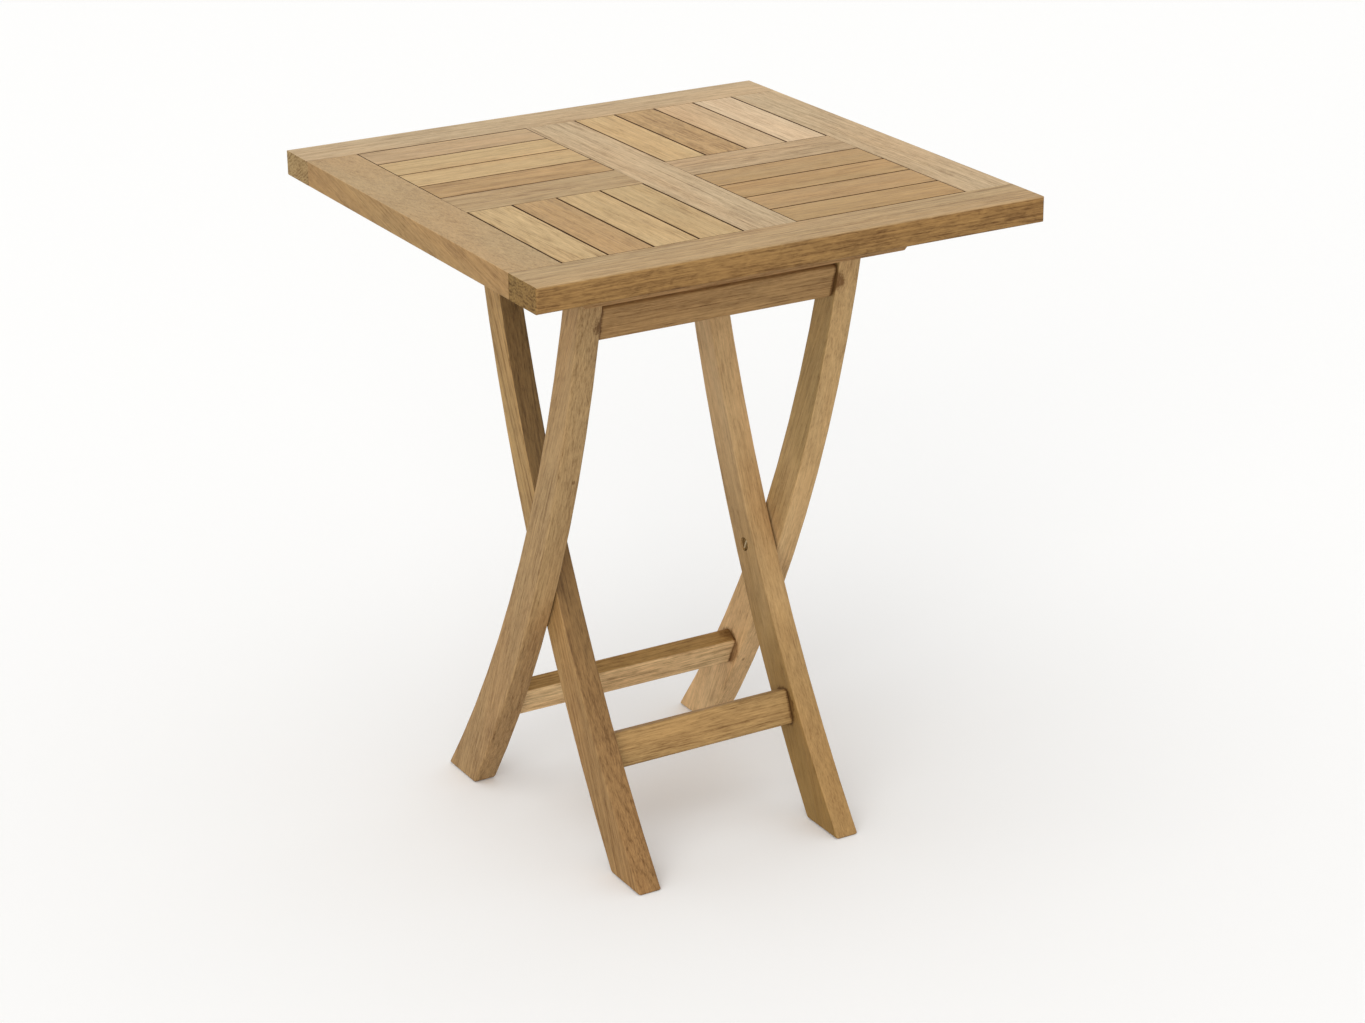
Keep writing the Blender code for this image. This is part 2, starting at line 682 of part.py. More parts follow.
def build_screw(name, x, y, bottom, boards):
    """A countersunk wood screw, up through a rail and into the top."""
    at = Vector((x, y, bottom + SCREW_SINK))
    depth = SCREW_HEAD_RADIUS - SCREW_RADIUS
    screw = new_object(name, cylinder_mesh(name, SCREW_HEAD_RADIUS, 0.0, depth, SCREW_RADIUS),
                       PARTS, metal(name))
    shank = cutter_cylinder(name + "_shank", SCREW_RADIUS, depth - SCREW_SINK, SCREW_LENGTH, at)
    join(screw, shank)
    hole = cutter_cylinder(name + "_hole", SCREW_RADIUS + BORE_GAP, -OVERSHOOT,
                           SCREW_LENGTH + BORE_GAP, at)
    mouth = SCREW_HEAD_RADIUS + COUNTERSINK_GAP + COUNTERSINK_RUNOUT
    sink = cutter_cylinder(name + "_sink", mouth, -COUNTERSINK_RUNOUT,
                           depth + COUNTERSINK_GAP, at, SCREW_RADIUS)
    upright = Matrix.Rotation(-pi / 2, 4, "Y")
    slot_half = Vector(SCREW_SLOT_HALF_SIZE)
    slot = cutter_box(name + "_slot", -slot_half, slot_half)
    slot.location = at
    for obj in (screw, shank, hole, sink, slot):
        obj.data.transform(upright)
    screw.location = at
    cut(screw, slot)
    for board in boards:
        cut(board, hole)
    cut(boards[0], sink)
    smooth_round(screw)
    attach(screw, TILT_AXIS)


def build_screws(name, places, bottom, rail, boards):
    """Four screws, at x = -outer, -inner, inner and outer, each into its own board."""
    outer, inner, y = places
    for i, (x, board) in enumerate(zip((-outer, -inner, inner, outer), boards)):
        build_screw(f"{name}_{i + 1}", x, y, bottom, (rail, board))


def attach(obj, parent):
    bpy.context.view_layer.update()
    obj.parent = parent
    obj.matrix_parent_inverse = parent.matrix_world.inverted()


def new_axis(name, at):
    empty = bpy.data.objects.new(name, None)
    empty.location = at
    empty.empty_display_size = 0.05
    PARTS.objects.link(empty)
    bpy.context.view_layer.update()
    return empty


# ---- assembly -----------------------------------------------------------------------
clear_scene()
PARTS = new_collection("folding_table")
CUTTERS = new_collection("cutters")
TILT_AXIS = new_axis("top_tilt_axis", hinge_point())
SCISSOR_AXIS = new_axis("leg_scissor_axis", PIVOT)

centre_stile = build_top_frame()
back_left = build_slats("back_left", -1, 1, 0, ("brown", "honey", "light", "grey"))
front_left = build_slats("front_left", -1, -1, 1, ("light", "brown", "rose", "honey"))
back_right = build_slats("back_right", 1, 1, 1, ("light", "brown", "honey", "light"))
front_right = build_slats("front_right", 1, -1, 0, ("light", "brown", "honey", "brown"))
catch_rail = build_catch_rail()
hinge_rail = build_hinge_rail()

outer_legs, inner_legs = {}, {}
for side, word in ((-1, "left"), (1, "right")):
    outer_legs[word] = build_leg(f"outer_leg_{word}", outer_leg_outline(),
                                 side * OUTER_LEG_CENTRE, "grey", SCISSOR_AXIS)
    inner_legs[word] = build_leg(f"inner_leg_{word}", inner_leg_outline(),
                                 side * INNER_LEG_CENTRE, "honey", None)

frame_rail("outer_top_rail", *OUTER_TOP_RAIL, OUTER_LEG_FACE, "brown", SCISSOR_AXIS,
           outer_legs.values())
frame_rail("outer_bottom_rail", *OUTER_BOTTOM_RAIL, OUTER_LEG_FACE, "honey", SCISSOR_AXIS,
           outer_legs.values())
frame_rail("inner_top_rail", *INNER_TOP_RAIL, INNER_FACE, "honey", None, inner_legs.values())
frame_rail("inner_bottom_rail", *INNER_BOTTOM_RAIL, INNER_FACE, "honey", None,
           inner_legs.values())

for side, word in ((-1, "left"), (1, "right")):
    build_scissor_pivot(side, word, inner_legs[word], outer_legs[word])
    build_hinge_pivot(side, word, inner_legs[word], hinge_rail)

build_screws("catch_screw", CATCH_SCREWS, UNDERSIDE - CATCH_DROP, catch_rail,
             (front_left[1], front_left[3], front_right[1], front_right[1]))
build_screws("hinge_screw", HINGE_SCREWS, UNDERSIDE - HINGE_RAIL_DROP, hinge_rail,
             (back_left[2], centre_stile, centre_stile, back_right[0]))
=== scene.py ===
"""Looks for the folding teak table: procedural teak, metal fixings, floor, light and camera."""

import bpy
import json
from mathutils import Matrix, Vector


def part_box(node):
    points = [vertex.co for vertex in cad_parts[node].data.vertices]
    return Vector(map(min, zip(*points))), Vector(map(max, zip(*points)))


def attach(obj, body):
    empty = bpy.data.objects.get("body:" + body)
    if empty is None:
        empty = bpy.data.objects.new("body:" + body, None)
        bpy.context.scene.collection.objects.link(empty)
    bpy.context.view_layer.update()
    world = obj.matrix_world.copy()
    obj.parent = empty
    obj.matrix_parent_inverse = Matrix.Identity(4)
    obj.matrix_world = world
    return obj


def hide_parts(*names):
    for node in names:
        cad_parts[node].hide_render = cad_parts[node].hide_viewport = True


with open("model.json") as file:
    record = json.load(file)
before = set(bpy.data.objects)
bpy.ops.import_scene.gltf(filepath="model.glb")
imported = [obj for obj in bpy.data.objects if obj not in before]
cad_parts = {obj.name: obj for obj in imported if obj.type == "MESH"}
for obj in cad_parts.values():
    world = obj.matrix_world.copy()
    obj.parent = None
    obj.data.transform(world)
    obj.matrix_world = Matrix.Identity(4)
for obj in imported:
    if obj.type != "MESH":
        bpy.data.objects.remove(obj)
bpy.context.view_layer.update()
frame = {"nodes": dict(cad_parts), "record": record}

import json
from math import cos, pi, radians, sin

import bmesh
import bpy
from mathutils import Matrix, Vector

NODES = frame["nodes"]
SLOT_OF = {row["node"]: row["material_slot"] for row in frame["record"]["subparts"]}
BODY_OF = {node: body for body, nodes in frame["record"]["behaviour"]["bodies"].items()
           for node in nodes}
X = Vector((1.0, 0.0, 0.0))
Y = Vector((0.0, 1.0, 0.0))
UP = (0.0, 0.0, 1.0)
TO_FRONT = (0.0, -1.0, 0.0)
MM_PER_METRE = 1000.0

# ---- tones: sanded, unoiled teak, as display colours, with painted light and shade in the legs' foot and front tones and the low rail's front tone ---
TONES = {
    "sand": "B4966E",
    "wheat": "C2A682",
    "grey_sand": "BA9C77",
    "brown": "B49164",
    "straw": "C7A677",
    "honey": "C0A072",
    "light": "CBAA83",
    "pale": "D6BA98",
    "amber": "B38F60",
    "rim_front": "977344",
    "rim_side": "A98659",
    "rim_back": "B29066",
    # the legs' foot and front tones differ from their leg tones by painted light and shade;
    # leg_d_front is a painted shadow
    "leg_a": "AD8C62",
    "leg_a_foot": "A7865D",
    "leg_b": "A68859",
    "leg_b_foot": "D5AF80",
    "leg_b_front": "C09D6E",
    "leg_c": "C3A277",
    "leg_c_foot": "937342",
    "leg_c_front": "C7A578",
    "leg_c_front_foot": "A58252",
    "leg_d": "B28F5E",
    "leg_d_foot": "A27D50",
    "leg_d_front": "765C38",
    "leg_d_front_foot": "967146",
    "rail_top": "A78255",
    "rail_low": "A27E4A",
    # rail_low_front is painted light on the low rail's front face
    "rail_low_front": "E2BE8E",
    "rail_inner": "A98656",
    "rail": "A8845A",
}


def colour_of(tone):
    """Linear colour of a named tone."""
    parts = [int(TONES[tone][i:i + 2], 16) / 255 for i in (0, 2, 4)]
    linear = [c / 12.92 if c <= 0.04045 else ((c + 0.055) / 1.055) ** 2.4 for c in parts]
    return (*linear, 1.0)


# ---- node helpers -------------------------------------------------------------------------
class Tree:
    """Short calls for building a node tree."""

    def __init__(self, tree):
        self.tree = tree

    def node(self, kind, **settings):
        made = self.tree.nodes.new(kind)
        for name, value in settings.items():
            setattr(made, name, value)
        return made

    def link(self, source, target):
        self.tree.links.new(source, target)

    def feed(self, socket, value):
        if isinstance(value, bpy.types.NodeSocket):
            self.link(value, socket)
        else:
            socket.default_value = value

    def math(self, operation, a, b=0.0, c=0.0):
        made = self.node("ShaderNodeMath", operation=operation)
        for socket, value in zip(made.inputs, (a, b, c)):
            self.feed(socket, value)
        return made.outputs[0]

    def vector(self, operation, a, b=(0.0, 0.0, 0.0)):
        made = self.node("ShaderNodeVectorMath", operation=operation)
        self.feed(made.inputs[0], a)
        self.feed(made.inputs[1], b)
        return made.outputs["Value" if operation in ("DOT_PRODUCT", "LENGTH") else "Vector"]

    def noise(self, at, detail=2.0, roughness=0.5, distortion=0.0):
        made = self.node("ShaderNodeTexNoise")
        self.link(at, made.inputs["Vector"])
        made.inputs["Scale"].default_value = 1.0
        made.inputs["Detail"].default_value = detail
        made.inputs["Roughness"].default_value = roughness
        made.inputs["Distortion"].default_value = distortion
        return made.outputs["Fac"]

    def ramp(self, value, stops):
        made = self.node("ShaderNodeValToRGB")
        made.color_ramp.interpolation = "EASE"
        elements = made.color_ramp.elements
        while len(elements) < len(stops):
            elements.new(0.5)
        for element, (place, level) in zip(elements, stops):
            element.position = place
            element.color = (level, level, level, 1.0)
        self.link(value, made.inputs["Fac"])
        return made.outputs["Color"]

    def mix(self, share, a, b, blend="MIX"):
        made = self.node("ShaderNodeMix", data_type="RGBA", blend_type=blend)
        self.feed(made.inputs["Factor"], share)
        self.feed(made.inputs[6], a)
        self.feed(made.inputs[7], b)
        return made.outputs[2]

    def remap(self, value, low, high, to_low=0.0, to_high=1.0, smooth=False):
        made = self.node("ShaderNodeMapRange")
        made.interpolation_type = "SMOOTHSTEP" if smooth else "LINEAR"
        self.feed(made.inputs["Value"], value)
        for name, number in (("From Min", low), ("From Max", high),
                             ("To Min", to_low), ("To Max", to_high)):
            self.feed(made.inputs[name], number)
        return made.outputs["Result"]

    def centred(self, value, amount):
        return self.math("MULTIPLY", self.math("SUBTRACT", value, 0.5), amount)

    def scaled(self, value, amount):
        return self.math("MULTIPLY", value, amount)

    def total(self, *values):
        whole = values[0]
        for value in values[1:]:
            whole = self.math("ADD", whole, value)
        return whole

    def grain_noise(self, at, along, across, detail=2.0, roughness=0.55, distortion=0.0):
        """Noise whose features are so many mm long and wide. at has x along the grain."""
        small = self.vector("MULTIPLY", at, (1.0 / along, 1.0 / across, 1.0 / across))
        return self.noise(small, detail, roughness, distortion)


def new_group(name, inputs, outputs):
    group = bpy.data.node_groups.new(name, "ShaderNodeTree")
    for label, kind, value in inputs:
        socket = group.interface.new_socket(label, in_out="INPUT", socket_type=kind)
        if value is not None:
            socket.default_value = value
    for label, kind in outputs:
        group.interface.new_socket(label, in_out="OUTPUT", socket_type=kind)
    tree = Tree(group)
    return group, tree, tree.node("NodeGroupInput").outputs, tree.node("NodeGroupOutput").inputs


# ---- teak ---------------------------------------------------------------------------------
# what each of these multiplies the tone by
DARK_GRAIN = (0.40, 0.31, 0.22, 1.0)
LIGHT_GRAIN = (1.30, 1.33, 1.38, 1.0)
OLIVE_DRIFT = (0.975, 1.0, 0.975, 1.0)
WARM_DRIFT = (1.028, 0.997, 0.925, 1.0)
END_GRAIN = (0.84, 0.89, 0.84, 1.0)
# painted shade, nearly black, for the walls of the gaps between boards
GAP_PAINTED_SHADE = (0.17, 0.12, 0.08, 1.0)


def teak_group():
    """Solid teak. Grain coordinates are in millimetres, x along the grain."""
    number, vector, colour = "NodeSocketFloat", "NodeSocketVector", "NodeSocketColor"
    group, tree, given, result = new_group("solid_teak", [
        ("Grain", vector, None),
        ("Pith", vector, None),
        ("End", number, 0.0),
        ("Edge", number, 0.0),
        ("Gap shade", number, 0.0),
        ("Tone", colour, None),
        ("Ring spacing", number, 3.0),
        ("Taper", number, 0.0),
        ("Figure", number, 0.5),
        ("Streak", number, 0.5),
        ("Patch", number, 0.5),
        ("Mottle", number, 0.0),
        ("Stain and shade", number, 0.0),
    ], [("Colour", colour), ("Roughness", number), ("Height", number)])
    at = given["Grain"]

    # distance from the pith, with a slow wander so that no line is ruler straight
    wander = tree.centred(tree.grain_noise(at, 240.0, 42.0, 2.0, 0.45), 18.0)
    ripple = tree.centred(tree.grain_noise(at, 34.0, 10.0, 1.0, 0.4), 2.0)
    across = tree.vector("MULTIPLY", tree.vector("ADD", at, given["Pith"]), (0.0, 1.0, 1.0))
    rise = tree.math("MULTIPLY", tree.vector("DOT_PRODUCT", at, (1.0, 0.0, 0.0)), given["Taper"])
    reach = tree.total(tree.vector("LENGTH", across), wander, ripple, rise)

    # growth rings of uneven width
    uneven = tree.grain_noise(at, 900.0, 12.0, 1.0)
    turns = tree.math("DIVIDE", reach, given["Ring spacing"])
    turns = tree.math("ADD", turns, tree.scaled(uneven, 2.2))
    ring = tree.ramp(tree.math("FRACT", turns), [
        (0.0, 0.0), (0.13, 0.45), (0.45, 1.0), (0.80, 0.70), (1.0, 0.0)])
    strong = tree.remap(tree.grain_noise(at, 380.0, 10.0, 1.0), 0.34, 0.64, 0.10, 1.0)
    ring_line = tree.math("MULTIPLY", tree.math("SUBTRACT", 1.0, ring), strong)

    # fibres, from broad soft bands to hair lines, and cloudy patches
    band = tree.grain_noise(at, 260.0, 11.0)
    streak = tree.grain_noise(at, 120.0, 3.0, 2.0, 0.6)
    fibre = tree.grain_noise(at, 80.0, 1.7, 2.0, 0.65)
    hair = tree.grain_noise(at, 16.0, 0.9, 2.0, 0.65)
    patch = tree.grain_noise(at, 90.0, 26.0, 3.0, 0.55, 0.6)
    mottle = tree.grain_noise(at, 15.0, 5.5, 3.0, 0.62, 0.8)

    # pores: short dark dashes, thickest beside the ring lines
    pore = tree.remap(tree.grain_noise(at, 7.0, 0.8, 1.0), 0.57, 0.70, smooth=True)
    pore = tree.math("MULTIPLY", pore, tree.remap(ring, 0.0, 1.0, 1.0, 0.45))

    # light and dark, as one signed value about zero
    lines = tree.total(tree.centred(band, 0.5), tree.centred(streak, 1.2),
                       tree.centred(fibre, 3.0), tree.centred(hair, 2.8))
    shade = tree.total(
        0.10,
        tree.math("MULTIPLY", lines, given["Streak"]),
        tree.math("MULTIPLY", tree.centred(patch, 1.6), given["Patch"]),
        tree.math("MULTIPLY", tree.centred(mottle, 1.7), given["Mottle"]),
        tree.math("MULTIPLY", tree.scaled(ring_line, -0.55),
                  tree.math("ADD", given["Figure"], tree.scaled(given["End"], 0.9))),
        tree.scaled(pore, -0.30),
        # darker for stains, knots and the painted shade at the joints
        tree.scaled(given["Stain and shade"], -1.0),
        # arrises lighter: partly wear, partly a painted highlight
        tree.scaled(given["Edge"], 0.10))

    tone = given["Tone"]
    dark = tree.mix(1.0, tone, DARK_GRAIN, "MULTIPLY")
    light = tree.mix(1.0, tone, LIGHT_GRAIN, "MULTIPLY")
    colour_out = tree.mix(tree.remap(shade, 0.0, -0.9), tone, dark)
    colour_out = tree.mix(tree.remap(shade, 0.0, 0.6), colour_out, light)

    # a slow drift of hue between grey-olive and warm
    drift = tree.remap(tree.grain_noise(at, 300.0, 60.0), 0.35, 0.65)
    hue = tree.mix(drift, OLIVE_DRIFT, WARM_DRIFT)
    colour_out = tree.mix(1.0, colour_out, hue, "MULTIPLY")

    # end grain is greener, and the walls of the gaps between boards get painted shade, nearly black
    ends = tree.mix(1.0, colour_out, END_GRAIN, "MULTIPLY")
    colour_out = tree.mix(given["End"], colour_out, ends)
    walls = tree.mix(1.0, colour_out, GAP_PAINTED_SHADE, "MULTIPLY")
    colour_out = tree.mix(given["Gap shade"], colour_out, walls)

    rough = tree.total(0.60, tree.scaled(ring_line, 0.10), tree.centred(fibre, 0.20),
                       tree.scaled(given["End"], 0.15), tree.scaled(given["Edge"], -0.12))
    height = tree.total(tree.scaled(fibre, 0.6), tree.scaled(hair, 0.5),
                        tree.scaled(pore, -0.9), tree.scaled(ring_line, -0.35))
    tree.link(colour_out, result["Colour"])
    tree.link(rough, result["Roughness"])
    tree.link(height, result["Height"])
    return group


TEAK = teak_group()
GRAIN_SHIFT = Vector((811.0, 137.0, 59.0))   # mm, times a piece's seed
EDGE_REACH = 0.0020
TOP_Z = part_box("front_rail")[1].z
# how squarely a face must point a way, as a cosine, for none and for all of an effect
ARRIS_WEAR_AND_HIGHLIGHT = (0.995, 0.80)
POINTS_UP = (0.45, 0.85)
POINTS_ALONG = (0.75, 0.9)
POINTS_FRONT = (0.5, 0.75)
POINTS_DOWN = -0.6
GAP_SHADE_FIELD = abs(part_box("left_stile")[1].x) + 0.0010   # the slats lie within this, either way
GAP_SHADE_STARTS = 0.00003      # below the top, where the painted shade on a gap's wall begins
GAP_SHADE_FULL = 0.00035     # below the top, where the painted shade is full
STAIN_RAGS = 160.0        # how fine a stain's uneven rim is, per metre
FOOT_STARTS = 0.06        # the height where a foot's painted light and shade begins to turn to the leg's tone
FOOT_ENDS = 0.50          # the height where it has turned fully
FOOT_CLOUD = (18.0, 18.0, 5.0)
FOOT_WANDER = 0.25
TEAK_SHINE = 0.28
TEAK_BUMP = 0.45
TEAK_RELIEF = 0.00035


def edge_wear_and_highlight(tree):
    """1 along the piece's arrises, fading to 0 within a short reach. The teak lightens these
    arrises as wear and as a painted highlight.
    """
    rounded = tree.node("ShaderNodeBevel", samples=4)
    rounded.inputs["Radius"].default_value = EDGE_REACH
    flat = tree.node("ShaderNodeNewGeometry").outputs["Normal"]
    same = tree.vector("DOT_PRODUCT", rounded.outputs["Normal"], flat)
    return tree.remap(same, *ARRIS_WEAR_AND_HIGHLIGHT, smooth=True)


def gap_painted_shade(tree, position, upright):
    """Mask of painted shade: 1 on the walls and floors of the thin gaps around the slats, and 0
    elsewhere.
    """
    apart = tree.node("ShaderNodeSeparateXYZ")
    tree.link(position, apart.inputs[0])
    sideways = tree.math("MAXIMUM", tree.math("ABSOLUTE", apart.outputs["X"]),
                         tree.math("ABSOLUTE", apart.outputs["Y"]))
    inside = tree.math("LESS_THAN", sideways, GAP_SHADE_FIELD)
    below = tree.remap(apart.outputs["Z"], TOP_Z - GAP_SHADE_STARTS, TOP_Z - GAP_SHADE_FULL, smooth=True)
    not_under = tree.math("GREATER_THAN", upright, POINTS_DOWN)
    return tree.math("MULTIPLY", tree.math("MULTIPLY", inside, below), not_under)


def blot(tree, position, turn, at, length, width, strength, core=0.0, ragged=0.9):
    """A stain, knot or patch of painted shade about a point, so long with the grain and so wide
    across it.

    core is how far out it stays full strength, and ragged is how uneven its rim is.
    """
    local = tree.node("ShaderNodeMapping")
    local.inputs["Rotation"].default_value = turn
    tree.link(tree.vector("SUBTRACT", position, tuple(at)), local.inputs["Vector"])
    sized = tree.vector("MULTIPLY", local.outputs["Vector"],
                        (1.0 / length, 1.0 / width, 1.0 / width))
    torn = tree.noise(tree.vector("MULTIPLY", position, (STAIN_RAGS,) * 3), 3.0, 0.6)
    away = tree.math("ADD", tree.vector("LENGTH", sized), tree.centred(torn, ragged))
    return tree.remap(away, 1.0, core, 0.0, strength, smooth=True)


def teak(name, along, face, tone, seed, side_tone=None, pith=(90.0, 30.0), spacing=3.0,
         taper=0.0, figure=0.45, streak=0.62, patch=0.45, mottle=0.15, side_mottle=0.5,
         stains_and_shade=(), gaps=False, foot_painted_light_tone=None, front_painted_light_tone=None, front_foot_painted_light_tone=None):
    """A teak material. along is the grain direction and face the width direction.

    tone is the upper faces', and side_tone, where given, that of every other face.
    The front tone paints light and shade onto faces toward -Y, and the foot tones are the painted
    light and shade that a leg's tones turn to near the floor. Each stain, knot or patch of painted
    shade is what blot takes from its place on.
    """
    material = bpy.data.materials.new(name + "_teak")
    material.use_nodes = True
    tree = Tree(material.node_tree)
    shader = material.node_tree.nodes["Principled BSDF"]
    place = tree.node("ShaderNodeTexCoord")
    position, normal = place.outputs["Object"], place.outputs["Normal"]
    x_axis = Vector(along).normalized()
    z_axis = x_axis.cross(Vector(face)).normalized()
    turn = Matrix((x_axis, z_axis.cross(x_axis), z_axis)).to_euler()
    shift = GRAIN_SHIFT * seed
    mapping = tree.node("ShaderNodeMapping")
    mapping.inputs["Rotation"].default_value = turn
    mapping.inputs["Scale"].default_value = (MM_PER_METRE,) * 3
    mapping.inputs["Location"].default_value = shift
    tree.link(position, mapping.inputs["Vector"])
    facing = tree.math("ABSOLUTE", tree.vector("DOT_PRODUCT", normal, tuple(x_axis)))
    upright = tree.vector("DOT_PRODUCT", normal, UP)
    upward = tree.remap(upright, *POINTS_UP)

    wood = tree.node("ShaderNodeGroup")
    wood.node_tree = TEAK
    tree.link(mapping.outputs["Vector"], wood.inputs["Grain"])
    wood.inputs["Pith"].default_value = (0.0, pith[0] - shift.y, pith[1] - shift.z)
    tree.link(tree.remap(facing, *POINTS_ALONG), wood.inputs["End"])
    tree.link(edge_wear_and_highlight(tree), wood.inputs["Edge"])
    base = tree.mix(upward, colour_of(side_tone or tone), colour_of(tone))
    # painted light and shade: faces toward -Y take the front tone
    forward = tree.remap(tree.vector("DOT_PRODUCT", normal, TO_FRONT), *POINTS_FRONT)
    if front_painted_light_tone:
        base = tree.mix(forward, base, colour_of(front_painted_light_tone))
    # painted light and shade: near the floor a leg's tones turn to the foot tones
    if foot_painted_light_tone:
        cloud = tree.noise(tree.vector("MULTIPLY", position, FOOT_CLOUD), 2.0, 0.5)
        height = tree.math("ADD", tree.vector("DOT_PRODUCT", position, UP),
                           tree.centred(cloud, FOOT_WANDER))
        foot = tree.mix(forward, colour_of(foot_painted_light_tone), colour_of(front_foot_painted_light_tone or foot_painted_light_tone))
        base = tree.mix(tree.remap(height, FOOT_STARTS, FOOT_ENDS, smooth=True), foot, base)
    tree.link(base, wood.inputs["Tone"])
    tree.link(tree.remap(upward, 0.0, 1.0, side_mottle, mottle), wood.inputs["Mottle"])
    # painted shade on the walls and floors of the gaps around the slats
    if gaps:
        tree.link(gap_painted_shade(tree, position, upright), wood.inputs["Gap shade"])
    for label, value in (("Ring spacing", spacing), ("Taper", taper), ("Figure", figure),
                         ("Streak", streak), ("Patch", patch)):
        wood.inputs[label].default_value = value
    # one darkening from every stain, knot and patch of painted shade
    stain = 0.0
    for spot in stains_and_shade:
        stain = tree.math("MAXIMUM", stain, blot(tree, position, turn, *spot))
    tree.feed(wood.inputs["Stain and shade"], stain)
    tree.link(wood.outputs["Colour"], shader.inputs["Base Color"])
    tree.link(wood.outputs["Roughness"], shader.inputs["Roughness"])
    shader.inputs["Specular IOR Level"].default_value = TEAK_SHINE
    bump = tree.node("ShaderNodeBump")
    bump.inputs["Strength"].default_value = TEAK_BUMP
    bump.inputs["Distance"].default_value = TEAK_RELIEF
    tree.link(wood.outputs["Height"], bump.inputs["Height"])
    tree.link(bump.outputs["Normal"], shader.inputs["Normal"])
    return material


# ---- metal --------------------------------------------------------------------------------
SCRATCHES = (900.0, 9000.0, 1200.0)   # per metre
WORN_PATCHES = (420.0, 420.0, 420.0)
DULLED = (0.55, 0.50, 0.45)
METAL_BUMP = 0.25
METAL_RELIEF = 0.00012


def metal(name, colour, roughness, metallic=1.0):
    """Turned metal with fine scratches and duller, darker patches."""
    material = bpy.data.materials.new(name)
    material.use_nodes = True
    tree = Tree(material.node_tree)
    shader = material.node_tree.nodes["Principled BSDF"]
    place = tree.node("ShaderNodeTexCoord").outputs["Object"]
    fine = tree.noise(tree.vector("MULTIPLY", place, SCRATCHES), 2.0, 0.6)
    worn = tree.noise(tree.vector("MULTIPLY", place, WORN_PATCHES), 3.0, 0.6)
    dull = (*(part * dulled for part, dulled in zip(colour, DULLED)), 1.0)
    tree.link(tree.mix(tree.remap(worn, 0.35, 0.7), (*colour, 1.0), dull),
              shader.inputs["Base Color"])
    shader.inputs["Metallic"].default_value = metallic
    tree.link(tree.total(tree.scaled(fine, 0.22), tree.scaled(worn, roughness)),
              shader.inputs["Roughness"])
    bump = tree.node("ShaderNodeBump")
    bump.inputs["Strength"].default_value = METAL_BUMP
    bump.inputs["Distance"].default_value = METAL_RELIEF
    tree.link(fine, bump.inputs["Height"])
    tree.link(bump.outputs["Normal"], shader.inputs["Normal"])
    return material


# ---- finish of the CAD pieces -------------------------------------------------------------
SAME_PLACE = 0.00001
SAME_PLANE = radians(0.5)
SHARP_EDGE = radians(32)


def finish_node(name, material, edge):
    """Gives a CAD node its material and eased edges."""
    obj = NODES[name]
    obj.data.materials.clear()
    obj.data.materials.append(material)
    weld = obj.modifiers.new("weld", "WELD")
    weld.merge_threshold = SAME_PLACE
    flat = obj.modifiers.new("merge_flats", "DECIMATE")
    flat.decimate_type = "DISSOLVE"
    flat.angle_limit = SAME_PLANE
    bevel = obj.modifiers.new("eased_edges", "BEVEL")
    bevel.width = edge
    bevel.segments = 2
    bevel.limit_method = "ANGLE"
    bevel.angle_limit = SHARP_EDGE
    obj.modifiers.new("smooth", "WEIGHTED_NORMAL").keep_sharp = True
    obj.data.shade_smooth()


# ---- table top ----------------------------------------------------------------------------
BOARD_EASE = 0.0004
SLAT_EASE = 0.0003
FRONT_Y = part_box("front_rail")[0].y
# dark patches along the front face of the front rail
FRONT_DARK_PATCHES = [
    # place on the front edge, length, width, strength
    ((0.075, FRONT_Y, TOP_Z - 0.013), 0.055, 0.020, 0.36),
    ((-0.170, FRONT_Y, TOP_Z - 0.021), 0.090, 0.012, 0.28),
    ((-0.020, FRONT_Y, TOP_Z - 0.024), 0.060, 0.010, 0.25),
    ((0.270, FRONT_Y, TOP_Z - 0.020), 0.060, 0.014, 0.16),
]
BOARDS = {
    # name: (grain, width, upper tone, seed, options)
    "front_rail": (X, Y, "sand", 1.3, dict(
        side_tone="rim_front", pith=(260.0, 60.0), spacing=4.6, figure=0.7, patch=0.3,
        side_mottle=1.0, stains_and_shade=FRONT_DARK_PATCHES)),
    "back_rail": (X, Y, "wheat", 2.1, dict(
        side_tone="rim_back", pith=(220.0, 90.0), spacing=3.8, figure=0.5)),
    "left_stile": (Vector((0.0, 1.0, 0.24)), X, "sand", 3.7, dict(
        side_tone="rim_side", pith=(35.0, 120.0), spacing=5.2, figure=0.25, streak=0.40,
        side_mottle=0.6)),
    "right_stile": (Y, X, "wheat", 4.9, dict(
        side_tone="rim_side", pith=(24.0, 95.0), spacing=5.0, taper=0.03, figure=0.5)),
    "centre_stile": (Y, X, "wheat", 5.3, dict(pith=(170.0, 15.0), spacing=4.4, figure=0.7)),
    "left_middle_rail": (X, Y, "sand", 6.6, dict(
        pith=(5.0, 40.0), spacing=5.4, taper=0.05, figure=0.6)),
    "right_middle_rail": (X, Y, "grey_sand", 7.2, dict(
        pith=(60.0, 80.0), spacing=3.6, figure=0.6, streak=0.75)),
}
SLATS = {
    # start of the name: (grain, width, tones of the four)
    "slat_back_left_": (X, Y, ("brown", "straw", "straw", "grey_sand")),
    "slat_front_left_": (Y, X, ("straw", "brown", "straw", "honey")),
    "slat_back_right_": (Y, X, ("straw", "brown", "light", "pale")),
    "slat_front_right_": (X, Y, ("amber", "brown", "amber", "brown")),
}
SLAT_OPTIONS = {
    # the slats that differ from what slat_look gives
    "slat_back_left_1": dict(patch=1.0, figure=0.45),
    "slat_back_left_4": dict(mottle=0.3, patch=0.6),
    "slat_front_left_1": dict(pith=(86.0, 12.0), spacing=6.5, taper=0.09, figure=0.7),
    "slat_front_left_2": dict(mottle=0.5, figure=0.25),
    "slat_back_right_2": dict(mottle=1.1, patch=0.9, figure=0.35),
    "slat_front_right_3": dict(patch=0.8, figure=0.7, spacing=5.0),
}


